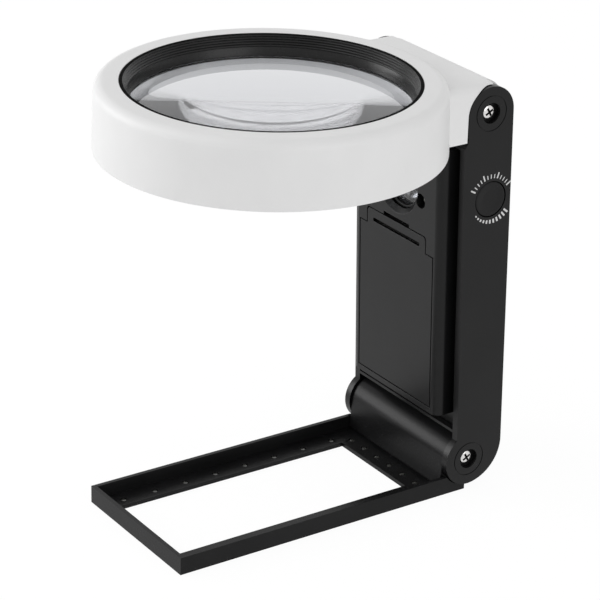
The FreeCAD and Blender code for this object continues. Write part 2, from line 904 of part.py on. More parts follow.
def pivot_screw(side, y, z, end_x):
    axis = "X" if side > 0 else "-X"
    shank = rod(d.pivot_radius, pivot_seat - end_x, side * end_x, y, z, axis)
    head = rod(d.pivot_head_radius, d.pivot_head_height, side * pivot_seat, y, z, axis)
    face = side * (pivot_seat + d.pivot_head_height)
    return less(fused(shank, head), *cross_slots(face, y, z, side))


def sleeve(side, radius, bore, low, high, y, z):
    """A tube along X between two distances from the middle."""
    axis = "X" if side > 0 else "-X"
    outside = rod(radius, high - low, side * low, y, z, axis)
    inside = rod(bore, high - low + 2 * d.overrun, side * (low - d.overrun), y, z, axis)
    return less(outside, inside)


def make_hinge_hardware(name, y, z, carrier, ear_face):
    """Screws, threaded inserts and friction washers between the carrier's ends and the ears."""
    insert_start = carrier - d.insert_length
    slack = (ear_face - carrier) / 8
    group(name + "_screws", [pivot_screw(side, y, z, insert_start) for side in (1, -1)], level)
    group(name + "_inserts", [sleeve(side, d.insert_radius, d.pivot_radius, insert_start, carrier, y, z)
                              for side in (1, -1)], level)
    group(name + "_washers", [sleeve(side, d.washer_radius, d.pivot_radius + d.pin_gap,
                                     carrier + slack, ear_face - slack, y, z)
                              for side in (1, -1)], level)


# Arm

def make_arm_shell():
    body = part("arm_shell", leaned)
    tangent_share = heel_radius / (heel_back_radius - heel_radius)
    meet_y = -heel_back_y * tangent_share
    meet_z = hinge_z - (heel_back_z - hinge_z) * tangent_share
    add(body, "YZ", -arm_half_width, arm_half_width, [
        (-arm_front, hinge_z + leg(heel_radius, arm_front)),
        arc(heel_radius, 1),
        (-heel_radius, hinge_z),
        arc(heel_radius, 1),
        (meet_y, meet_z),
        arc(heel_back_radius, 1),
        (arm_back, heel_back_z),
        (ear_back, head_hinge_z),
        arc(d.ear_radius, 1),
        (head_hinge_y, head_hinge_z + d.ear_radius),
        arc(d.ear_radius, 1),
        (ear_front, head_hinge_z),
        (ear_front, shoulder_z),
        (-arm_front, cheek_top_z),
    ])
    beyond = arm_front + d.overrun
    inner_low = back_face_y(cradle_top_z) - d.back_wall
    inner_high = back_face_y(web_bottom_z) - d.back_wall
    cut(body, "YZ", -cheek_inner, cheek_inner, [
        (-beyond, cradle_top_z),
        (inner_low, cradle_top_z),
        (inner_high, web_bottom_z),
        (-beyond, web_bottom_z),
    ])
    top = head_hinge_z + d.ear_radius + d.overrun
    behind = ear_back + d.overrun
    cut(body, "YZ", -ear_inner, ear_inner, rectangle(-beyond, web_top_z, behind, top))
    bottom = hinge_z - heel_back_radius - d.overrun
    reach = heel_radius + d.overrun
    cut(body, "YZ", -cheek_inner, cheek_inner, rectangle(-reach, bottom, d.cradle_y, cradle_bottom_z))
    cut(body, "YZ", -cheek_inner, cheek_inner,
        rectangle(-reach, bottom, behind, hinge_z - d.heel_opening))
    cut(body, "YZ", -cheek_inner, cheek_inner,
        circle(0, hinge_z, d.barrel_radius + d.gap + d.fine_gap))
    for low, high in ((journal_face, arm_half_width), (-arm_half_width, -journal_face)):
        add(body, "YZ", low, high, circle(0, hinge_z, d.journal_radius))
    beside = arm_half_width + d.overrun
    for y, z in ((0, hinge_z), (head_hinge_y, head_hinge_z)):
        for side in (1, -1):
            cut_from_side(body, side, d.pivot_sink_depth, circle(y, z, d.pivot_sink_radius))
            cut_from_side(body, side, d.hinge_mark_depth, circle(y, z, d.hinge_mark_radius),
                          circle(y, z, d.hinge_mark_radius - d.hinge_mark_width))
        cut(body, "YZ", -beside, beside, circle(y, z, d.pivot_radius + d.pin_gap))
    cut_from_side(body, 1, d.cheek + d.gap, circle(button_y, button_z, d.button_radius + d.gap))
    cut(body, "YZ", button_flange_back - d.button_travel - d.gap, cheek_inner,
        circle(button_y, button_z, d.button_radius + d.button_flange + d.gap))
    outside = ear_back + d.overrun
    cut(body, "XZ", arm_back - d.overrun - d.back_wall, outside, circle(0, eye_z, eye_bore))
    for z in (post_low_z, post_high_z):
        face = back_face_y(z)
        for side in (1, -1):
            cut(body, "XZ", face - d.back_wall - d.overrun, outside,
                circle(side * post_x, z, d.arm_screw_radius + d.fine_gap))
            cut(body, "XZ", face - d.arm_screw_head_height - d.fine_gap, outside,
                circle(side * post_x, z, d.arm_screw_sink))


def cut_from_side(body, side, depth, *outlines):
    """A pocket of some depth in the arm's outer side face."""
    floor = arm_half_width - depth
    outside = arm_half_width + d.overrun
    low, high = (floor, outside) if side > 0 else (-outside, -floor)
    return cut(body, "YZ", low, high, *outlines)


def rounded_box_plan(half_width, front, back, corner):
    """Plan of the battery box: two round corners at the front, open square corners at the back."""
    return [
        (-half_width, back),
        (-half_width, front + corner),
        arc(corner, 1),
        (-half_width + corner, front),
        (half_width - corner, front),
        arc(corner, 1),
        (half_width, front + corner),
        (half_width, back),
    ]


def door_outline(slack):
    """The door's outline in X and Z, grown all round by slack."""
    half = door_half_width + slack
    tab = door_tab_half_width + slack
    top = door_top_z + slack
    step = door_step_z + slack
    corner = d.door_corner
    return [
        (-half, door_bottom_z - slack),
        (half, door_bottom_z - slack),
        (half, step),
        (tab, step),
        (tab, top - corner),
        arc(corner, 1),
        (tab - corner, top),
        (-tab + corner, top),
        arc(corner, 1),
        (-tab, top - corner),
        (-tab, step),
        (-half, step),
    ]


def make_battery_housing():
    body = part("battery_housing", leaned)
    plate_bottom = cradle_top_z + d.fine_gap
    plate_top = web_bottom_z - d.fine_gap
    tub_half = bay_half_width + d.tub_wall
    upper_bottom = door_top_z + d.box_wall * 2
    add(body, "XZ", plate_front_y, plate_back_y,
        rectangle(-housing_half_width, plate_bottom, housing_half_width, plate_top))
    add(body, "XY", box_bottom_z, box_top_z,
        rounded_box_plan(box_half_width, box_front_y, plate_front_y, d.box_corner))
    add(body, "XZ", plate_back_y, bay_back_y + d.tub_wall,
        rectangle(-tub_half, box_bottom_z, tub_half, bay_top_z + d.tub_wall))
    cut(body, "XZ", door_back_y, plate_back_y + d.overrun,
        rectangle(-box_half_width + d.box_wall, upper_bottom,
                  box_half_width - d.box_wall, box_top_z - d.box_wall))
    cut(body, "XZ", box_front_y - d.overrun, bay_back_y,
        rectangle(-bay_half_width, bay_bottom_z, bay_half_width, bay_top_z))
    cut(body, "XZ", box_front_y - d.overrun, door_back_y + d.pin_gap, door_outline(d.door_gap))
    finger_top = door_top_z + d.door_gap + d.finger_height
    cut(body, "XZ", box_front_y - d.overrun, door_back_y,
        rectangle(-d.finger_half_length, door_top_z, d.finger_half_length, finger_top))
    tube_back = back_face_y(eye_z + eye_tube_radius) - d.back_wall - d.gap
    add(body, "XZ", box_front_y, tube_back, circle(0, eye_z, eye_tube_radius))
    spot_back = box_front_y + d.spot_depth + d.spot_wall
    spot_outside = d.spot_radius + d.spot_rim + d.spot_wall
    add(body, "XZ", box_front_y, spot_back, circle(spot_x, spot_z, spot_outside))
    opening = eye_bore - d.eye_shoulder
    rise = lens_rise(d.eye_radius, d.eye_bulge, opening)
    shoulder_y = eye_front_y + d.eye_bulge + d.eye_edge + rise + d.pin_gap
    turn("Groove", body, "XY", eye_z, [
        (0, box_front_y - d.overrun),
        (eye_bore + d.eye_flare + d.overrun, box_front_y - d.overrun),
        (eye_bore, box_front_y + d.eye_flare),
        (eye_bore, shoulder_y),
        (opening, shoulder_y),
        (opening, tube_back + d.overrun),
        (0, tube_back + d.overrun),
    ])
    cut(body, "XZ", box_front_y - d.overrun, box_front_y + d.spot_depth,
        circle(spot_x, spot_z, d.spot_radius + d.spot_rim))
    for z in (post_low_z, post_high_z):
        inside = back_face_y(z + d.post_radius) - d.back_wall - d.fine_gap
        for side in (1, -1):
            add(body, "XZ", plate_back_y, inside, circle(side * post_x, z, d.post_radius))
            cut(body, "XZ", inside - d.arm_screw_length, inside + d.overrun,
                circle(side * post_x, z, d.arm_screw_radius))


def make_battery_door():
    body = part("battery_door", leaned)
    add(body, "XZ", box_front_y, door_back_y, door_outline(0))
    half_height = d.grip_height / 2
    straight = grip_half_length - half_height
    cut(body, "XZ", box_front_y - d.overrun, box_front_y + d.grip_depth, [
        (-straight, grip_z - half_height),
        (straight, grip_z - half_height),
        arc(half_height, 1),
        (grip_half_length, grip_z),
        arc(half_height, 1),
        (straight, grip_z + half_height),
        (-straight, grip_z + half_height),
        arc(half_height, 1),
        (-grip_half_length, grip_z),
        arc(half_height, 1),
    ])


# Batteries: three cells side by side, the middle one upside down


def make_battery_cells():
    cells = []
    for k, upright in ((-1, True), (0, False), (1, True)):
        x = k * d.cell_pitch
        nub_base = bay_high - d.cell_nub if upright else bay_low
        can_base = bay_low + d.spring_length if upright else bay_low + d.cell_nub
        can = rod(d.cell_radius, d.cell_length, x, cell_y, can_base)
        nub = rod(d.cell_nub_radius, d.cell_nub, x, cell_y, nub_base)
        cells.append(fused(can, nub))
    group("battery_cells", cells, leaned)


def make_battery_contacts():
    half = d.contact_width / 2
    plates = []
    for k in (-1, 0, 1):
        x = k * d.cell_pitch
        for low in (bay_bottom_z, bay_high):
            plates.append(block(x - half, cell_y - half, low, x + half, cell_y + half, low + d.contact_plate))
    group("battery_contacts", plates, leaned)


def make_battery_springs():
    springs = []
    for k, upright in ((-1, True), (0, False), (1, True)):
        x = k * d.cell_pitch
        base = bay_low if upright else bay_high
        axis = "Z" if upright else "-Z"
        springs.append(cone(d.spring_wide, d.spring_narrow, d.spring_length, x, cell_y, base, axis))
    group("battery_springs", springs, leaned)


# Small lens in the arm

def make_small_lens():
    body = part("small_lens", leaned)
    sphere = bulge_radius(d.eye_radius, d.eye_bulge)
    edge_back = eye_front_y + d.eye_bulge + d.eye_edge
    turn("Revolution", body, "XY", eye_z, [
        (0, eye_front_y),
        arc(sphere, 1),
        (d.eye_radius, eye_front_y + d.eye_bulge),
        (d.eye_radius, edge_back),
        arc(sphere, 1),
        (0, edge_back + d.eye_bulge),
    ])


def make_small_lens_ring():
    body = part("small_lens_ring", leaned)
    inner = d.eye_radius - d.eye_ring_width
    back = eye_front_y + d.eye_bulge - lens_rise(d.eye_radius, d.eye_bulge, inner) - d.pin_gap
    add(body, "XZ", back - d.eye_ring, back, circle(0, eye_z, d.eye_radius), circle(0, eye_z, inner))


def make_small_lens_led():
    back = box_front_y + d.spot_depth
    collar = rod(d.spot_radius + d.gap, 2 * d.gap, spot_x, back, spot_z, "-Y")
    stem = rod(d.spot_radius, d.spot_depth / 2, spot_x, back, spot_z, "-Y")
    group("small_lens_led", [fused(collar, stem)], leaned)


# Power button, switch and board

def make_power_button():
    body = part("power_button", leaned)
    add(body, "YZ", button_flange_front, button_face, circle(button_y, button_z, d.button_radius))
    add(body, "YZ", button_flange_back, button_flange_front,
        circle(button_y, button_z, d.button_radius + d.button_flange))
    add(body, "YZ", stem_end, button_flange_back, circle(button_y, button_z, d.button_stem_radius))


def make_switch():
    half = d.switch_side / 2
    body = part("push_switch", leaned)
    add(body, "YZ", switch_back, switch_front,
        rectangle(button_y - half, button_z - half, button_y + half, button_z + half))
    cut(body, "YZ", switch_front - d.switch_bore_depth, switch_front + d.overrun,
        circle(button_y, button_z, d.plunger_radius + d.pin_gap))
    plunger = part("switch_plunger", leaned)
    add(plunger, "YZ", plunger_tip - d.plunger_length, plunger_tip,
        circle(button_y, button_z, d.plunger_radius))


def make_control_board():
    body = part("control_board", leaned)
    half = d.board_height / 2
    board_edge = back_face_y(button_z) - d.back_wall - d.board_clear
    add(body, "YZ", board_back, switch_back,
        rectangle(plate_back_y, button_z - half, board_edge, button_z + half))


def arm_screw(side, z):
    head_face = back_face_y(z) - d.fine_gap / 2
    x = side * post_x
    head = rod(d.arm_screw_head, d.arm_screw_head_height - d.fine_gap, x,
               head_face - d.arm_screw_head_height + d.fine_gap, z, "Y")
    shank = rod(d.arm_screw_radius, d.arm_screw_length, x,
                head_face - d.arm_screw_head_height - d.arm_screw_length + d.fine_gap, z, "Y")
    return fused(head, shank)


def make_arm_screws():
    group("arm_screws", [arm_screw(side, z) for z in (post_low_z, post_high_z) for side in (1, -1)],
          leaned)


# Base

def strip_led_places():
    """Where the small diodes stand in the base frame's flange."""
    places = []
    for i in range(SIDE_LEDS):
        y = -(side_led_first + side_led_pitch * i)
        places += [(side_led_x, y), (-side_led_x, y)]
    for i in range(REAR_LEDS):
        places.append((rear_led_pitch * (i - (REAR_LEDS - 1) / 2), -rear_led_y))
    return places


def frame_outlines(slack):
    """Outer and inner edge of the groove under the flange, drawn in by slack."""
    outer = rectangle(-base_inner + slack, -base_length + d.base_wall + slack,
                      base_inner - slack, -groove_rear - slack)
    rim = d.groove_rim + slack
    inner = rectangle(-window_half_width - rim, -window_front - rim,
                      window_half_width + rim, -window_rear + rim)
    return outer, inner


def apron_tangent():
    """Where the apron's front plane touches the barrel."""
    a = -apron_lip_y
    b = d.apron_lip_z - hinge_z
    radius = d.barrel_radius
    square = a * a + b * b
    tangent = (square - radius * radius).root()
    share = radius / square
    return (radius * a + b * tangent) * share, hinge_z + (radius * b - a * tangent) * share


def make_base_frame():
    body = part("base_frame", level)
    over = d.overrun
    add(body, "XY", as_size(0), d.base_height,
        rectangle(-base_half_width, -base_length, base_half_width, -d.base_rear))
    cut(body, "XY", d.flange_top, d.base_height + over,
        rectangle(-base_inner, -base_length + d.base_wall, base_inner, -d.base_rear + over))
    cut(body, "XY", -over, d.base_height,
        rectangle(-window_half_width, -window_front, window_half_width, -window_rear))
    cut(body, "XY", -over, groove_top_z, *frame_outlines(as_size(0)))
    cut(body, "YZ", -base_half_width - over, base_half_width + over,
        circle(0, hinge_z, heel_radius + d.wall_arc_gap))
    lip = -apron_lip_y
    under = lip + d.apron_undercut
    lip_bottom = d.apron_lip_z - d.apron_lip_height
    add(body, "YZ", -barrel_half_length, barrel_half_length, [
        (under, 0),
        (-d.base_rear, 0),
        (0, hinge_z),
        apron_tangent(),
        (lip, d.apron_lip_z),
        (lip, lip_bottom),
        (under, lip_bottom),
    ])
    add(body, "YZ", -barrel_half_length, barrel_half_length, circle(0, hinge_z, d.barrel_radius))
    outside = barrel_half_length + over
    insert_start = journal_floor - d.insert_length
    for start, radius in ((journal_floor, d.journal_radius + d.pin_gap), (insert_start, d.insert_radius)):
        cut(body, "YZ", start, outside, circle(0, hinge_z, radius))
        cut(body, "YZ", -outside, -start, circle(0, hinge_z, radius))
    holes = [circle(x, y, d.strip_led_radius + d.door_gap) for x, y in strip_led_places()]
    cut(body, "XY", groove_top_z - over, d.flange_top + d.fine_gap, *holes)


def make_base_led_board():
    body = part("base_led_board", level)
    add(body, "XY", groove_top_z - d.strip_board, groove_top_z, *frame_outlines(d.door_gap))


def make_base_bottom_cover():
    body = part("base_bottom_cover", level)
    add(body, "XY", as_size(0), groove_top_z - d.strip_board, *frame_outlines(d.door_gap))


def make_base_leds():
    group("base_leds", [rod(d.strip_led_radius, d.strip_led_height, x, y, groove_top_z)
                        for x, y in strip_led_places()], level)


# Build, check and write

make_head_housing()
make_baffle_ring()
make_main_lens()
make_lens_clamp_ring()
make_head_bottom_cover()
make_ring_board()
make_head_leds()
make_head_cover_screws()
make_hinge_hardware("upper_hinge", head_axis_y, head_axis_z, neck_half_length, ear_inner)
make_arm_shell()
make_battery_housing()
make_battery_door()
make_battery_cells()
make_battery_contacts()
make_battery_springs()
make_small_lens()
make_small_lens_ring()
make_small_lens_led()
make_power_button()
make_switch()
make_control_board()
make_arm_screws()
make_base_frame()
make_base_led_board()
make_base_bottom_cover()
make_base_leds()
make_hinge_hardware("lower_hinge", 0, hinge_z, journal_floor, journal_face)
doc.recompute()

failed = [item.Label for item in doc.Objects if {"Invalid", "Error"} & set(item.State)]
if failed:
    raise RuntimeError(f"features that failed: {failed}")
for item in parts:
    if item.Shape.isNull() or not item.Shape.isValid() or not item.Shape.Solids:
        raise RuntimeError(f"{item.Label} has no valid solid")

os.makedirs("parts", exist_ok=True)
for item in parts:
    item.Shape.exportStep(f"parts/{item.Label}.step")
    print(item.Label, len(item.Shape.Solids), round(item.Shape.Volume))
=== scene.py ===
import json
import math

import bmesh
import bpy
from mathutils import Matrix, Vector


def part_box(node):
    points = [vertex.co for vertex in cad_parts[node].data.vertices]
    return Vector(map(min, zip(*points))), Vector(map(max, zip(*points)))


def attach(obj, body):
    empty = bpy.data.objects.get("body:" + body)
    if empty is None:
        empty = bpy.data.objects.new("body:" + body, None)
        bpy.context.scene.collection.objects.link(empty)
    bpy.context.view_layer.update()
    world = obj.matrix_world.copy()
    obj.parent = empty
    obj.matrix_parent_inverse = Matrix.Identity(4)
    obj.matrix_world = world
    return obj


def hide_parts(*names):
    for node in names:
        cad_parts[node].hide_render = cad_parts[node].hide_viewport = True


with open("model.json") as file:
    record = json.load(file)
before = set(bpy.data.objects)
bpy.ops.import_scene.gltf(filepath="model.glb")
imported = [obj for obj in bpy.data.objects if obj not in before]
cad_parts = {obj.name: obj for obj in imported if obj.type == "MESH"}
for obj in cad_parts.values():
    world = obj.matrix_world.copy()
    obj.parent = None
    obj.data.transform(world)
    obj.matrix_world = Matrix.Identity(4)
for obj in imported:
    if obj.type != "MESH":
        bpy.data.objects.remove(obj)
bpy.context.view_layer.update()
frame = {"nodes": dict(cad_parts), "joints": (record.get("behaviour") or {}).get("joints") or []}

# Places. Lengths are millimetres and become metres through MM. The arm's own pieces are drawn upright
# and leaned forward about the base hinge, as the real arm leans.

MM = 0.001
JOINTS = {joint["name"]: joint for joint in frame["joints"]}
BASE_HINGE = Vector(JOINTS["base_fold"]["pos_m"])
HEAD_HINGE = Vector(JOINTS["head_tilt"]["pos_m"])
SHIFT = BASE_HINGE.y / MM
HINGE_Z = BASE_HINGE.z / MM
OVERHANG, HINGE_SPAN = 4.13, 141.69
LEAN = math.asin(OVERHANG / HINGE_SPAN)
HEAD_REACH = 72.6
HEAD_Y = SHIFT - HEAD_REACH

SCALE = Matrix.Diagonal((MM, MM, MM, 1))
TO_BASE = SCALE @ Matrix.Translation((0, SHIFT, 0))
TO_HEAD = SCALE @ Matrix.Translation((0, HEAD_Y, 0))
TO_ARM = (SCALE @ Matrix.Translation((0, SHIFT, HINGE_Z)) @ Matrix.Rotation(LEAN, 4, "X")
          @ Matrix.Translation((0, 0, -HINGE_Z)))
# Lathes turn about Z. These lay that axis along another direction.
Z_TO_X = Matrix.Rotation(math.pi / 2, 4, "Y")
Z_TO_MINUS_X = Matrix.Rotation(-math.pi / 2, 4, "Y")
Z_TO_Y = Matrix.Rotation(-math.pi / 2, 4, "X")
UPSIDE_DOWN = Matrix.Rotation(math.pi, 4, "X")

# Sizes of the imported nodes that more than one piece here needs
CHEEK_FACE = 34.3
BOX_FRONT = -11.65
BUTTON_Y, BUTTON_Z = 6.63, 121.05

# A lathe's radius below this is its axis, and packed corners closer than this are one corner
TINY = 1e-6


def into_scene(name, data):
    """A new object that shows the data, placed in the scene."""
    item = bpy.data.objects.new(name, data)
    bpy.context.scene.collection.objects.link(item)
    return item


# Camera

def place_camera():
    azimuth, elevation, roll = math.radians(55.58), math.radians(23.79), math.radians(1.49)
    distance, aside, behind, height = 994.5, -48.34, 0.8, 66.42
    sensor, focal_pixels, width = 36.0, 2545.64, 600
    back = Vector((math.sin(azimuth) * math.cos(elevation), -math.cos(azimuth) * math.cos(elevation),
                   math.sin(elevation)))
    level = Vector((math.cos(azimuth), math.sin(azimuth), 0))
    rise = back.cross(level)
    right = level * math.cos(roll) + rise * math.sin(roll)
    up = rise * math.cos(roll) - level * math.sin(roll)
    target = Vector((aside * math.cos(azimuth), aside * math.sin(azimuth) + SHIFT + behind, height))
    camera = bpy.data.cameras.new("camera")
    camera.lens = focal_pixels / width * sensor
    camera.sensor_width = sensor
    camera.clip_start = 0.01
    camera.clip_end = 20
    turn = Matrix((right, up, back)).transposed().to_4x4()
    holder = into_scene("camera", camera)
    holder.matrix_world = Matrix.Translation((target + back * distance) * MM) @ turn
    bpy.context.scene.camera = holder


# Material nodes

class Nodes:
    """The node tree of a material or a world, with short ways to add and join its nodes."""

    def __init__(self, owner):
        owner.use_nodes = True
        self.tree = owner.node_tree

    def feed(self, socket, value):
        if isinstance(value, bpy.types.NodeSocket):
            self.tree.links.new(value, socket)
        else:
            socket.default_value = value

    def add(self, kind, **inputs):
        node = self.tree.nodes.new(kind)
        for name, value in inputs.items():
            self.feed(node.inputs[name.replace("_", " ")], value)
        return node

    def math(self, operation, *values):
        node = self.tree.nodes.new("ShaderNodeMath")
        node.operation = operation
        for socket, value in zip(node.inputs, values):
            self.feed(socket, value)
        return node.outputs[0]


class Surface(Nodes):
    """A material's nodes, which lead to its shader."""

    def __init__(self, name):
        self.material = bpy.data.materials.new(name)
        super().__init__(self.material)
        self.shader = self.tree.nodes["Principled BSDF"]
        self.output = self.tree.nodes["Material Output"]
        self.where = self.tree.nodes.new("ShaderNodeTexCoord").outputs["Object"]

    def noise(self, scale, detail=3.0, roughness=0.55):
        node = self.add("ShaderNodeTexNoise", Vector=self.where, Scale=scale, Detail=detail,
                        Roughness=roughness)
        return node.outputs["Fac"]

    def spread(self, value, low, high, start=0.3, end=0.7):
        node = self.add("ShaderNodeMapRange", Value=value, From_Min=start, From_Max=end,
                        To_Min=low, To_Max=high)
        return node.outputs["Result"]

    def blend(self, factor, first, second):
        node = self.add("ShaderNodeMixRGB", Fac=factor, Color1=(*first, 1), Color2=(*second, 1))
        return node.outputs["Color"]

    def clouded(self, value, first, second):
        """From the first colour to the second, as the value goes through the middle of its range."""
        return self.blend(self.spread(value, 0.0, 1.0), first, second)

    def bump(self, height, strength, distance):
        node = self.add("ShaderNodeBump", Height=height, Strength=strength, Distance=distance)
        return node.outputs["Normal"]

    def set(self, **inputs):
        for name, value in inputs.items():
            self.feed(self.shader.inputs[name.replace("_", " ")], value)
        return self.material


def moulded(name, dark, light, smooth, rough, specular, grain, depth, **more):
    """Moulded plastic: fine spark-eroded grain, slow patches of gloss and a very faint change of colour."""
    nodes = Surface(name)
    patches = nodes.noise(45.0, detail=2.0)
    fine = nodes.noise(grain, detail=4.0, roughness=0.6)
    return nodes.set(
        Base_Color=nodes.clouded(patches, dark, light),
        Roughness=nodes.spread(fine, smooth, rough),
        Specular_IOR_Level=specular,
        Normal=nodes.bump(fine, 0.35, depth),
        **more,
    )


def metal(name, dark, light, smooth, rough, streak):
    nodes = Surface(name)
    cloud = nodes.noise(streak, detail=5.0, roughness=0.65)
    return nodes.set(
        Base_Color=nodes.clouded(cloud, dark, light),
        Metallic=1.0,
        Roughness=nodes.spread(cloud, smooth, rough),
        Normal=nodes.bump(cloud, 0.15, 0.00002),
    )


def lens_acrylic(name, tint):
    """Clear polished acrylic with the faintest waviness and haze of its moulding."""
    nodes = Surface(name)
    return nodes.set(
        Base_Color=(*tint, 1),
        Roughness=0.0,
        IOR=1.53,
        Transmission_Weight=0.97,
        Normal=nodes.bump(nodes.noise(18.0, detail=1.0), 0.02, 0.0001),
    )


def diode_epoxy(name, dark, light):
    nodes = Surface(name)
    cloud = nodes.noise(900.0, detail=2.0)
    return nodes.set(
        Base_Color=nodes.clouded(cloud, dark, light),
        Roughness=nodes.spread(cloud, 0.12, 0.22),
        Specular_IOR_Level=0.5,
        Coat_Weight=0.5,
        Coat_Roughness=0.05,
    )


def board(name):
    """Green solder mask over the cells of a track pattern."""
    nodes = Surface(name)
    tracks = nodes.add("ShaderNodeTexVoronoi", Vector=nodes.where, Scale=420.0).outputs["Distance"]
    edges = nodes.spread(tracks, 0.0, 1.0, start=0.35, end=0.45)
    return nodes.set(
        Base_Color=nodes.blend(edges, (0.02, 0.10, 0.04), (0.05, 0.20, 0.08)),
        Roughness=nodes.spread(tracks, 0.3, 0.45),
        Normal=nodes.bump(tracks, 0.2, 0.00003),
    )


def sleeve_film(name):
    nodes = Surface(name)
    cloud = nodes.noise(120.0)
    return nodes.set(
        Base_Color=nodes.clouded(cloud, (0.10, 0.11, 0.13), (0.16, 0.17, 0.19)),
        Roughness=nodes.spread(cloud, 0.25, 0.35),
        Metallic=0.3,
    )


WHITE = moulded("white_plastic", (0.825, 0.825, 0.825), (0.85, 0.85, 0.85),
                smooth=0.42, rough=0.52, specular=0.40, grain=2600.0, depth=0.00002)
POLISHED = moulded("white_polished", (0.84, 0.84, 0.84), (0.86, 0.86, 0.86),
                   smooth=0.06, rough=0.14, specular=0.6, grain=2600.0, depth=0.00001)
BLACK = moulded("black_plastic", (0.0034, 0.0034, 0.0036), (0.0054, 0.0054, 0.0057),
                smooth=0.28, rough=0.40, specular=0.225, grain=2400.0, depth=0.00003)
BASE_BLACK = moulded("black_base", (0.0065, 0.0065, 0.0068), (0.0095, 0.0095, 0.0099),
                     smooth=0.26, rough=0.37, specular=0.135, grain=2400.0, depth=0.00003)
SATIN = moulded("black_satin", (0.004, 0.004, 0.0042), (0.006, 0.006, 0.0063),
                smooth=0.42, rough=0.55, specular=0.20, grain=3200.0, depth=0.00004)
RUBBER = moulded("black_ribbed", (0.006, 0.006, 0.0061), (0.009, 0.009, 0.0092),
                 smooth=0.24, rough=0.34, specular=0.26, grain=3000.0, depth=0.00003,
                 Sheen_Weight=0.2, Sheen_Roughness=0.35)
# Near-black, dull and barely reflecting: painted shade, used in the door's grip slot and on the baffle's top
# rim band.
SHADE_BLACK = moulded("black_painted_shade", (0.002, 0.002, 0.002), (0.003, 0.003, 0.003),
               smooth=0.7, rough=0.85, specular=0.03, grain=3000.0, depth=0.00003)
NYLON = moulded("washer_nylon", (0.45, 0.45, 0.44), (0.52, 0.52, 0.51),
                smooth=0.4, rough=0.5, specular=0.5, grain=1800.0, depth=0.00003)
INK = moulded("white_marks", (0.62, 0.62, 0.62), (0.70, 0.70, 0.70),
              smooth=0.45, rough=0.6, specular=0.4, grain=3000.0, depth=0.00001)
# Dark, dull metal for the screws' cross recesses: painted shade in the recess.
RECESS_SHADE = metal("screw_recess_painted_shade", (0.05, 0.048, 0.046), (0.10, 0.098, 0.095), 0.35, 0.55, 1500.0)
CHROME = metal("screw_nickel", (0.62, 0.61, 0.60), (0.78, 0.77, 0.76), 0.12, 0.26, 1500.0)
BRASS = metal("insert_brass", (0.60, 0.44, 0.20), (0.74, 0.57, 0.30), 0.25, 0.4, 900.0)
SPRING = metal("spring_steel", (0.55, 0.55, 0.56), (0.68, 0.68, 0.69), 0.2, 0.32, 1100.0)
GROUND = moulded("ground_edge", (0.88, 0.89, 0.91), (0.92, 0.93, 0.95),
                 smooth=0.6, rough=0.75, specular=0.3, grain=2600.0, depth=0.00001)
CLEAR = lens_acrylic("clear_acrylic", (0.90, 0.91, 0.94))
SMALL_CLEAR = lens_acrylic("clear_small", (0.42, 0.43, 0.45))
DIODE = diode_epoxy("diode_epoxy", (0.30, 0.30, 0.28), (0.42, 0.42, 0.38))
STRIP_DIODE = diode_epoxy("diode_strip", (0.035, 0.035, 0.032), (0.06, 0.06, 0.055))
BOARD = board("board_mask")
FILM = sleeve_film("cell_film")


# Shapes

def rounded(points, radii, steps=5, loop=False):
    """A line of (u, v) points with its corners rounded, by one radius a corner, or 0 to keep it sharp."""
    line = []
    count = len(points)
    for i, (point, radius) in enumerate(zip(points, radii)):
        here = Vector(point)
        inside = loop or 0 < i < count - 1
        if not radius or not inside:
            line.append(here)
            continue
        before = Vector(points[i - 1]) - here
        after = Vector(points[(i + 1) % count]) - here
        half = before.angle(after) / 2
        bisector = (before.normalized() + after.normalized()).normalized()
        centre = here + bisector * (radius / math.sin(half))
        reach = radius / math.tan(half)
        first = here + before.normalized() * reach - centre
        last = here + after.normalized() * reach - centre
        sweep = math.atan2(first.x * last.y - first.y * last.x, first.dot(last))
        for k in range(steps + 1):
            line.append(centre + Matrix.Rotation(sweep * k / steps, 2) @ first)
    return [(point.x, point.y) for point in line]


def dome(radius, rise, start, steps):
    """The profile of a dome that looks down, from its tip at the height start out to its radius."""
    angles = [math.pi / 2 * i / steps for i in range(steps + 1)]
    return [(radius * math.sin(angle), start + rise * (1 - math.cos(angle))) for angle in angles]


def finish_mesh(name, shape, place, material, sharp=32.0):
    """Turn a bmesh into an object in the part's frame, smooth but for its sharp edges."""
    bmesh.ops.transform(shape, matrix=place, verts=shape.verts)
    bmesh.ops.recalc_face_normals(shape, faces=shape.faces)
    mesh = bpy.data.meshes.new(name)
    shape.to_mesh(mesh)
    shape.free()
    mesh.shade_smooth()
    mesh.set_sharp_from_angle(angle=math.radians(sharp))
    mesh.materials.append(material)
    return into_scene(name, mesh)


def lathe_into(shape, profile, place=Matrix(), segments=160, loop=False):
    """Turn a profile of (radius, height) round Z into the bmesh; loop joins its end to its start."""
    rings = []
    for radius, height in profile:
        if radius < TINY:
            rings.append([shape.verts.new(place @ Vector((0, 0, height)))])
            continue
        ring = []
        for k in range(segments):
            angle = 2 * math.pi * k / segments
            corner = Vector((radius * math.cos(angle), radius * math.sin(angle), height))
            ring.append(shape.verts.new(place @ corner))
        rings.append(ring)
    pairs = list(zip(rings, rings[1:]))
    if loop:
        pairs.append((rings[-1], rings[0]))
    for lower, upper in pairs:
        if len(lower) == 1 and len(upper) == 1:
            continue
        for k in range(segments):
            following = (k + 1) % segments
            if len(lower) == 1:
                shape.faces.new((lower[0], upper[following], upper[k]))
            elif len(upper) == 1:
                shape.faces.new((lower[k], lower[following], upper[0]))
            else:
                shape.faces.new((lower[k], lower[following], upper[following], upper[k]))


def lathe(name, profile, place, material, segments=160, loop=False, sharp=32.0):
    shape = bmesh.new()
    lathe_into(shape, profile, Matrix(), segments, loop)
    return finish_mesh(name, shape, place, material, sharp)


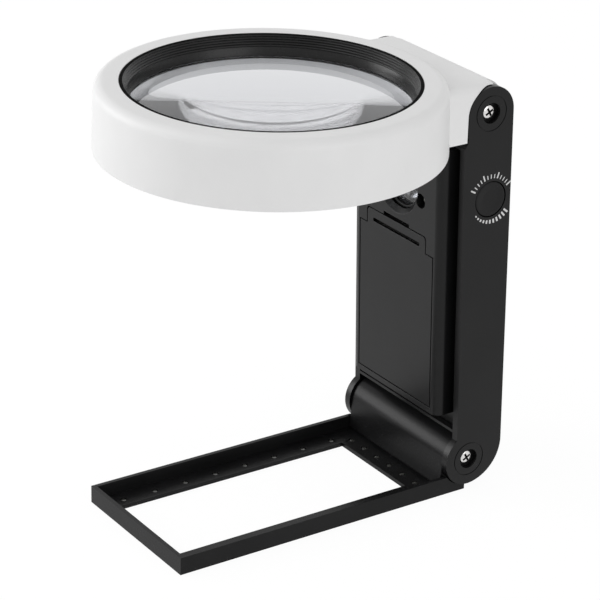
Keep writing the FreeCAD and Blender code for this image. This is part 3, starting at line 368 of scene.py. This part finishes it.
def prism_into(shape, lower, upper):
    """Close two rings of as many corners into a solid, as ends and sides."""
    lower = [shape.verts.new(corner) for corner in lower]
    upper = [shape.verts.new(corner) for corner in upper]
    shape.faces.new(lower)
    shape.faces.new(upper)
    for k in range(len(lower)):
        following = (k + 1) % len(lower)
        shape.faces.new((lower[k], lower[following], upper[following], upper[k]))


def evaluated(piece):
    """Apply every modifier of a piece to its mesh."""
    graph = bpy.context.evaluated_depsgraph_get()
    graph.update()
    mesh = bpy.data.meshes.new_from_object(piece.evaluated_get(graph), depsgraph=graph)
    piece.modifiers.clear()
    piece.data = mesh
    return piece


def softened(node, width, material, flat=0.8, shy=0.0, reshape=None):
    """
    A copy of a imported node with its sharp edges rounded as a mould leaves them. Faces within flat degrees
    become one, shy draws in its sides, and reshape moves its corners first.
    """
    shape = bmesh.new()
    shape.from_mesh(frame["nodes"][node].data)
    if reshape:
        for vert in shape.verts:
            vert.co = reshape(vert.co)
    if shy:
        low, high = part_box(node)
        middle = (low + high) / 2
        size = high - low
        less = Vector((1 - 2 * shy * MM / size.x, 1, 1 - 2 * shy * MM / size.z))
        bmesh.ops.scale(shape, vec=less, space=Matrix.Translation(-middle), verts=shape.verts)
    bmesh.ops.remove_doubles(shape, verts=shape.verts, dist=TINY)
    if flat:
        bmesh.ops.dissolve_limit(shape, angle_limit=math.radians(flat), verts=shape.verts,
                                 edges=shape.edges)
    piece = finish_mesh(node + "_detail", shape, Matrix(), material)
    bevel = piece.modifiers.new("edges", "BEVEL")
    bevel.width = width * MM
    bevel.segments = 3
    bevel.limit_method = "ANGLE"
    bevel.angle_limit = math.radians(30.0)
    bevel.miter_outer = "MITER_ARC"
    bevel.use_clamp_overlap = True
    weighted = piece.modifiers.new("normals", "WEIGHTED_NORMAL")
    weighted.mode = "FACE_AREA"
    weighted.weight = 100
    weighted.keep_sharp = False
    return evaluated(piece)


def second_material(piece, material, holds):
    """Give the faces for which holds is true another material."""
    piece.data.materials.append(material)
    for face in piece.data.polygons:
        face.material_index = int(holds(face))


def settle(piece, body, slot, *nodes):
    """Say which body a piece moves with and which nodes it stands for. The slot, naming its finish, is not
    used.
    """
    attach(piece, body)
    if nodes:
        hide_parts(*nodes)


def paint(node, material):
    mesh = frame["nodes"][node].data
    mesh.materials.clear()
    mesh.materials.append(material)


# Head

def lens_profile(radius, bulge, edge, low, steps=28):
    """Both faces of a lens are parts of a sphere; low is the height of its lower edge."""
    sphere = (radius * radius + bulge * bulge) / (2 * bulge)
    half = math.asin(radius / sphere)
    lower = []
    for k in range(steps + 1):
        angle = half * k / steps
        lower.append((sphere * math.sin(angle), low - bulge + sphere * (1 - math.cos(angle))))
    upper = [(r, 2 * low + edge - z) for r, z in reversed(lower)]
    return lower + upper


def make_head():
    for node, width, material in (("head_housing", 0.6, WHITE), ("head_bottom_cover", 0.35, POLISHED)):
        settle(softened(node, width, material), "head", "white_shell", node)
    make_main_lens()
    make_baffle()
    settle(softened("lens_clamp_ring", 0.3, SATIN), "head", "black_trim", "lens_clamp_ring")
    make_head_leds()
    paint("head_led_board", BOARD)


def make_main_lens():
    low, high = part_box("main_lens")
    radius = (high.x - low.x) / 2 / MM
    edge = 3.0
    bulge = ((high.z - low.z) / MM - edge) / 2
    profile = lens_profile(radius, bulge, edge, low.z / MM + bulge)
    lens = lathe("main_lens_detail", profile, TO_HEAD, CLEAR, segments=256, sharp=40.0)
    upright = 0.1
    second_material(lens, GROUND, lambda face: abs(face.normal.z) < upright)
    lens.visible_shadow = False
    settle(lens, "head", "clear_lens", "main_lens")


def make_baffle():
    """Black cone above the lens; its upper band carries fine rounded ribs, and its rim band is near-black and
    dull as painted shade.
    """
    low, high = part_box("baffle_ring")
    bottom, top = low.z / MM, high.z / MM
    outer, collar, seat = 56.2, 54.8, top - 1.3
    foot, crown = 50.95, 53.65
    ribs, pitch, depth, first, steps = 5, 0.9, 0.35, 0.25, 6
    fullness = 0.9
    rim = 0.12
    slope = (crown - foot) / (top - bottom)
    points = [(foot, bottom), (outer, bottom), (outer, seat), (collar, seat), (collar, top), (crown, top)]
    corners = rounded(points, (0.2, 0, 0, 0, 0.1, 0.15), 3, loop=True)
    bank = []
    for i in range(ribs):
        crest = top - first - pitch * i
        for k in range(1, steps + 1):
            z = crest - pitch * k / steps
            swell = math.sin(math.pi * k / steps)
            bank.append((foot + slope * (z - bottom) + depth * (1 - fullness * swell), z))
    ring = lathe("baffle_ring_detail", corners + bank, TO_HEAD, RUBBER, segments=256, loop=True, sharp=50.0)
    # The rim band gets the near-black material, as painted shade at the rim.
    second_material(ring, SHADE_BLACK, lambda face: face.center.z > (top - rim) * MM)
    settle(ring, "head", "black_trim", "baffle_ring")


def make_head_leds():
    """Domed diodes that look down through the cover."""
    low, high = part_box("head_leds")
    bottom, top = low.z / MM, high.z / MM
    count, circle, radius = 18, 57.95, 1.6
    profile = dome(radius, radius * 0.6, bottom, 6) + [(radius, top), (0, top)]
    shape = bmesh.new()
    for k in range(count):
        angle = 2 * math.pi * k / count
        spot = Matrix.Translation((circle * math.cos(angle), circle * math.sin(angle), 0))
        lathe_into(shape, profile, spot, 24)
    settle(finish_mesh("head_leds_detail", shape, TO_HEAD, DIODE), "head", "diode", "head_leds")


# Screws

def cross_cutter(wing, thick, floor, mouth):
    """A cross that widens from the recess's floor to above the screw's head."""
    narrow, wide = 0.55, 1.15
    outline = [(thick, -wing), (thick, -thick), (wing, -thick), (wing, thick), (thick, thick),
               (thick, wing), (-thick, wing), (-thick, thick), (-wing, thick), (-wing, -thick),
               (-thick, -thick), (-thick, -wing)]
    tool = bmesh.new()
    prism_into(tool, [(x * narrow, y * narrow, floor) for x, y in outline],
               [(x * wide, y * wide, mouth) for x, y in outline])
    return plain_object("cutter", tool)


def plain_object(name, shape):
    """An object that only lends its mesh to another."""
    bmesh.ops.recalc_face_normals(shape, faces=shape.faces)
    mesh = bpy.data.meshes.new(name)
    shape.to_mesh(mesh)
    shape.free()
    return into_scene(name, mesh)


def screw_into(shape, place, radius, height, shank, length):
    """
    A pan-head screw with a cross recess. Its head's seat is at height 0 and its shank points to -Z. The
    recess's faces get the second material, a dark dull metal that paints the recess's shade.
    """
    wing, thick, floor = radius * 0.7, radius * 0.17, -height * 0.3
    crown = [(radius, 0.0), (radius, height * 0.45), (radius * 0.93, height * 0.72),
             (radius * 0.78, height * 0.9), (radius * 0.5, height), (0, height * 1.02)]
    head = bmesh.new()
    lathe_into(head, [(0, -length), (shank, -length), (shank, 0.0)] + crown, segments=40)
    body = plain_object("screw", head)
    cutter = cross_cutter(wing, thick, floor, height * 1.6)
    boolean = body.modifiers.new("cross", "BOOLEAN")
    boolean.operation = "DIFFERENCE"
    boolean.solver = "EXACT"
    boolean.object = cutter
    evaluated(body)
    copy = bmesh.new()
    copy.from_mesh(body.data)
    for face in copy.faces:
        spot = face.calc_center_median()
        inside = max(abs(spot.x), abs(spot.y)) < wing * 1.05 and spot.z > floor - 0.01
        face.material_index = int(inside and (face.normal.z < 0.7 or spot.z < height * 0.5))
    bmesh.ops.transform(copy, matrix=place, verts=copy.verts)
    joined = bpy.data.meshes.new("joined")
    copy.to_mesh(joined)
    copy.free()
    shape.from_mesh(joined)
    for item in (body, cutter):
        bpy.data.objects.remove(item)


def make_screws(node, places, to_frame, body, **sizes):
    shape = bmesh.new()
    for place in places:
        screw_into(shape, place, **sizes)
    piece = finish_mesh(node + "_detail", shape, to_frame, CHROME, sharp=28.0)
    # The second material paints shade in the cross recesses.
    piece.data.materials.append(RECESS_SHADE)
    settle(piece, body, "steel_screw", node)


def make_hinge(name, centre, body, insert_face):
    """Both screws of a hinge, seated in their round sinks, each turned by an angle of its own."""
    sink, insert_length = 2.4, 6.0
    seat = CHEEK_FACE - sink
    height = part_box(name + "_screws")[1].x / MM - seat
    places = []
    for side, lay, turn in ((1, Z_TO_X, 0.5), (-1, Z_TO_MINUS_X, 1.2)):
        places.append(Matrix.Translation((side * seat, centre.y / MM, centre.z / MM)) @ lay
                      @ Matrix.Rotation(turn, 4, "Z"))
    make_screws(name + "_screws", places, SCALE, body, radius=2.75, height=height, shank=1.5,
                length=seat - (insert_face - insert_length))
    paint(name + "_inserts", BRASS)
    paint(name + "_washers", NYLON)


def make_cover_screws():
    circle, underside, sink = 60.2, 145.6, 0.9
    places = []
    for k, degrees in enumerate((50, 130, 230, 310)):
        angle = math.radians(degrees)
        spot = (circle * math.cos(angle), circle * math.sin(angle), underside + sink)
        places.append(Matrix.Translation(spot) @ UPSIDE_DOWN @ Matrix.Rotation(0.7 * k, 4, "Z"))
    make_screws("head_cover_screws", places, TO_HEAD, "head", radius=1.9, height=0.8, shank=1.0, length=8.7)


def make_arm_screws():
    aside, head_height = 28.0, 1.1
    places = []
    for k, z in enumerate((40.0, 134.5)):
        for side in (1, -1):
            spot = (aside * side, back_face(z) - head_height, z)
            places.append(Matrix.Translation(spot) @ Z_TO_Y @ Matrix.Rotation(0.9 * k + side, 4, "Z"))
    make_screws("arm_screws", places, TO_ARM, "arm", radius=2.2, height=0.95, shank=1.0, length=10.8)


def back_face(z):
    """The arm's outer back face, which leans from its heel to its ears."""
    heel_y, heel_z = 15.5, 18.78
    ear_y, ear_z = 16.13, 155.29
    return heel_y + (ear_y - heel_y) * (z - heel_z) / (ear_z - heel_z)


# Arm

def make_arm():
    settle(softened("arm_shell", 0.5, BLACK), "arm", "black_shell", "arm_shell")
    housing = softened("battery_housing", 0.4, BLACK, reshape=ease_corner)
    settle(housing, "arm", "black_shell", "battery_housing")
    make_door()
    make_small_lens()
    make_small_light()
    make_button()
    make_marks()
    make_springs()
    paint("battery_cells", FILM)
    paint("battery_contacts", SPRING)
    paint("push_switch", SATIN)
    paint("switch_plunger", SATIN)
    paint("control_board", BOARD)


def ease_corner(spot):
    """Open up the rounding of the battery housing's two long front corners."""
    side, front, easing, slack = 25.8, -9.45, 1.4, 0.05
    place = TO_ARM.inverted() @ spot
    across, ahead = abs(place.x) - side, front - place.y
    if across < -slack or ahead < -slack:
        return spot
    turn = math.atan2(max(across, 0.0), max(ahead, 0.0))
    radius = math.hypot(across, ahead) + easing
    place.x = math.copysign(side - easing + radius * math.sin(turn), place.x)
    place.y = front + easing - radius * math.cos(turn)
    return TO_ARM @ place


def make_door():
    """The battery door, with its grip slot sunk deeper and painted near-black inside as painted shade."""
    floor, deeper, slack = -10.85, -10.35, 0.03
    half, low, high = 15.4, 99.4, 101.2
    inner, outer = -10.15, BOX_FRONT + 0.1

    def sink(spot):
        place = TO_ARM.inverted() @ spot
        if abs(place.y - floor) < slack and low < place.z < high:
            place.y = deeper
            return TO_ARM @ place
        return spot

    def in_slot(face):
        place = TO_ARM.inverted() @ face.center
        return outer < place.y < inner and abs(place.x) < half and low < place.z < high

    door = softened("battery_door", 0.15, BLACK, shy=0.25, reshape=sink)
    # The slot's faces get the near-black material: painted shade inside the grip slot.
    second_material(door, SHADE_BLACK, in_slot)
    settle(door, "arm", "black_shell", "battery_door")


def make_small_lens():
    """The second lens, and the ring that holds it from behind."""
    front = BOX_FRONT + 2.4
    radius, bulge, edge, height = 11.2, 2.0, 1.8, 121.4
    place = TO_ARM @ Matrix.Translation((0, 0, height)) @ Z_TO_Y
    profile = lens_profile(radius, bulge, edge, front + bulge, 16)
    lens = lathe("small_lens_detail", profile, place, SMALL_CLEAR, segments=128, sharp=40.0)
    lens.visible_shadow = False
    settle(lens, "arm", "clear_lens", "small_lens")
    thick, width, rise = 1.2, 0.9, 0.38
    back = front + bulge - rise
    outline = [(radius - width, back - thick), (radius, back - thick), (radius, back), (radius - width, back)]
    ring = lathe("small_lens_ring_detail", rounded(outline, (0.3, 0.1, 0.1, 0.2), 4, loop=True), place,
                 SATIN, segments=128, loop=True)
    settle(ring, "arm", "black_trim", "small_lens_ring")


def make_small_light():
    """The diode beside the second lens: a dome on a stem with a flange."""
    floor = BOX_FRONT + 4.2
    radius, rise, tall = 1.5, 1.1, 2.1
    flange, thick = 1.8, 0.6
    stem = [(radius, floor - thick), (flange, floor - thick), (flange, floor), (0, floor)]
    shape = bmesh.new()
    lathe_into(shape, dome(radius, rise, floor - tall, 8) + stem,
               Matrix.Translation((15.2, 0, 118.0)) @ Z_TO_Y, 40)
    settle(finish_mesh("small_lens_led_detail", shape, TO_ARM, DIODE), "arm", "diode", "small_lens_led")


def make_button():
    """Round push button, lightly dished, with its flange and stem behind the cheek."""
    low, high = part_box("power_button")
    face, end = high.x / MM, low.x / MM
    radius, flange, stem = 6.85, 7.65, 2.5
    flange_front, flange_back = 31.0, 30.2
    dish = [(0, face - 0.35), (3.5, face - 0.28), (5.9, face - 0.02)]
    outline = dish + [(radius, face), (radius, flange_front), (flange, flange_front), (flange, flange_back),
                      (stem, flange_back), (stem, end), (0, end)]
    profile = rounded(outline, (0, 6.0, 0.8, 0.45, 0.1, 0.2, 0.2, 0.2, 0.2, 0), 5)
    place = TO_ARM @ Matrix.Translation((0, BUTTON_Y, BUTTON_Z)) @ Z_TO_X
    button = lathe("power_button_detail", profile, place, SATIN, segments=96)
    settle(button, "button", "black_button", "power_button")


def make_marks():
    """Marks round the button: plain ticks above it and a row of growing bars below it."""
    ring, lift, thick = 8.3, 0.02, 0.04
    middle = Vector((CHEEK_FACE + lift, BUTTON_Y, BUTTON_Z))
    shape = bmesh.new()

    def stroke(degrees, outer, width):
        angle = math.radians(degrees)
        way = Vector((0, -math.cos(angle), math.sin(angle)))
        side = Vector((0, math.sin(angle), math.cos(angle))) * (width / 2)
        corners = [middle + way * ring - side, middle + way * outer - side, middle + way * outer + side,
                   middle + way * ring + side]
        prism_into(shape, [corner - Vector((thick, 0, 0)) for corner in corners], corners)

    for k in range(13):
        long = k % 4 == 0
        stroke(30 + 10 * k, 10.7 if long else 9.9, 0.6 if long else 0.4)
    for k in range(11):
        stroke(-40 - 10 * k, 8.9 + 0.18 * k, 0.75)
    settle(finish_mesh("button_marks", shape, TO_ARM, INK), "arm", "white_shell")


def make_springs():
    """Conical coils under the cells, the middle one turned over."""
    bay_floor, bay_top, plate, cell_length, nub = 36.9, 96.9, 0.5, 49.5, 1.0
    length = bay_top - bay_floor - 2 * plate - cell_length - nub
    wire, wide, narrowing, turns, steps = 0.3, 4.2, 1.6, 5, 24
    door_plate, gap, cell_radius, cell_pitch = 1.6, 0.3, 7.25, 14.6
    cell_y = BOX_FRONT + door_plate + gap + cell_radius
    count = turns * steps
    for k, base, way in ((-1, bay_floor + plate, 1), (0, bay_top - plate, -1), (1, bay_floor + plate, 1)):
        curve = bpy.data.curves.new(f"battery_spring_{k + 2}", "CURVE")
        curve.dimensions = "3D"
        curve.bevel_depth = wire * MM
        curve.bevel_resolution = 3
        line = curve.splines.new("POLY")
        line.points.add(count)
        for i in range(count + 1):
            share = i / count
            angle = 2 * math.pi * turns * share
            radius = wide - wire - narrowing * share
            spot = Vector((k * cell_pitch + radius * math.cos(angle), cell_y + radius * math.sin(angle),
                           base + way * (wire + (length - 2 * wire) * share)))
            line.points[i].co = (*(TO_ARM @ spot), 1)
        curve.materials.append(SPRING)
        piece = into_scene(curve.name, curve)
        settle(piece, "arm", "spring_metal", *(["battery_springs"] if k == 0 else []))


# Base

def make_base():
    settle(softened("base_frame", 0.4, BASE_BLACK, flat=0), "base", "black_shell", "base_frame")
    make_base_leds()
    settle(softened("base_bottom_cover", 0.1, SATIN, flat=0), "base", "black_trim", "base_bottom_cover")
    paint("base_led_board", BOARD)


def make_base_leds():
    """Flat little domes on the flange: two long rows and a short one at the rear."""
    bottom, top, radius = 0.9, 1.6, 1.1
    side_x, side_start, side_pitch = 25.4, 23.3, 13.8
    rear_y, rear_pitch = 15.8, 8.6
    spots = []
    for i in range(8):
        y = -(side_start + side_pitch * i)
        spots += [(side_x, y), (-side_x, y)]
    for i in range(6):
        spots.append((rear_pitch * (i - 2.5), -rear_y))
    profile = [(0, bottom), (radius, bottom), (radius, bottom + 0.35), (radius * 0.85, top - 0.12),
               (radius * 0.5, top - 0.02), (0, top)]
    shape = bmesh.new()
    for x, y in spots:
        lathe_into(shape, profile, Matrix.Translation((x, y, 0)), 24)
    settle(finish_mesh("base_leds_detail", shape, TO_BASE, STRIP_DIODE), "base", "diode", "base_leds")


# Room: pale floor, even sky, soft lamps. Seen through a lens, the background is a little darker.

THROUGH_LENS = 0.73


def seen(nodes):
    """1 for rays that show the background: to the camera, in a mirror and through glass."""
    path = nodes.add("ShaderNodeLightPath").outputs
    straight = nodes.math("MAXIMUM", path["Is Camera Ray"], path["Is Glossy Ray"])
    return nodes.math("MAXIMUM", straight, path["Is Transmission Ray"])


def through(nodes, plain, glass):
    """The background's strength: plain where it is seen straight, glass where it is seen through a lens."""
    path = nodes.add("ShaderNodeLightPath").outputs
    return nodes.math("MULTIPLY_ADD", path["Is Transmission Ray"], glass - plain, plain)


def make_floor():
    white, glow_share = 1.03, 0.92
    half, level = 4000.0, -0.05
    nodes = Surface("floor_paper")
    nodes.set(Base_Color=nodes.clouded(nodes.noise(3.0), (0.90, 0.90, 0.90), (0.92, 0.92, 0.92)),
              Roughness=0.9, Specular_IOR_Level=0.1)
    glow = nodes.add("ShaderNodeEmission", Color=(1, 1, 1, 1), Strength=through(nodes, white, THROUGH_LENS))
    mix = nodes.add("ShaderNodeMixShader", Fac=nodes.math("MULTIPLY", seen(nodes), glow_share))
    nodes.feed(mix.inputs[1], nodes.shader.outputs["BSDF"])
    nodes.feed(mix.inputs[2], glow.outputs["Emission"])
    nodes.feed(nodes.output.inputs["Surface"], mix.outputs["Shader"])
    shape = bmesh.new()
    around = ((-half, -half), (half, -half), (half, half), (-half, half))
    shape.faces.new([shape.verts.new((x, y, level)) for x, y in around])
    finish_mesh("floor", shape, SCALE, nodes.material)


def make_sky():
    light = 0.58
    world = bpy.data.worlds.new("sky")
    bpy.context.scene.world = world
    nodes = Nodes(world)
    background = world.node_tree.nodes["Background"]
    background.inputs["Color"].default_value = (1, 1, 1, 1)
    level = nodes.math("MULTIPLY_ADD", seen(nodes), 1 - light, light)
    nodes.feed(background.inputs["Strength"],
               nodes.math("MULTIPLY", level, through(nodes, 1.0, THROUGH_LENS)))


def make_lamp(name, spot, watts, size):
    lamp = bpy.data.lights.new(name, "AREA")
    lamp.energy = watts
    lamp.shape = "SQUARE"
    lamp.size = size
    aim = Vector((0.0, 0.0, 0.08))
    way = aim - Vector(spot)
    turn = way.to_track_quat("-Z", "Y").to_matrix().to_4x4()
    into_scene(name, lamp).matrix_world = Matrix.Translation(spot) @ turn


place_camera()
make_head()
make_hinge("upper_hinge", HEAD_HINGE, "head", insert_face=27.9)
make_hinge("lower_hinge", BASE_HINGE, "base", insert_face=27.6)
make_cover_screws()
make_arm_screws()
make_arm()
make_base()
make_floor()
make_sky()
make_lamp("key", (-1.35, -1.15, 0.5), 12.5, 0.9)
make_lamp("fill", (1.5, 0.1, 0.6), 5.0, 1.0)
make_lamp("top", (-0.55, -0.95, 1.35), 3.2, 0.9)
bpy.context.scene.view_settings.view_transform = "Standard"
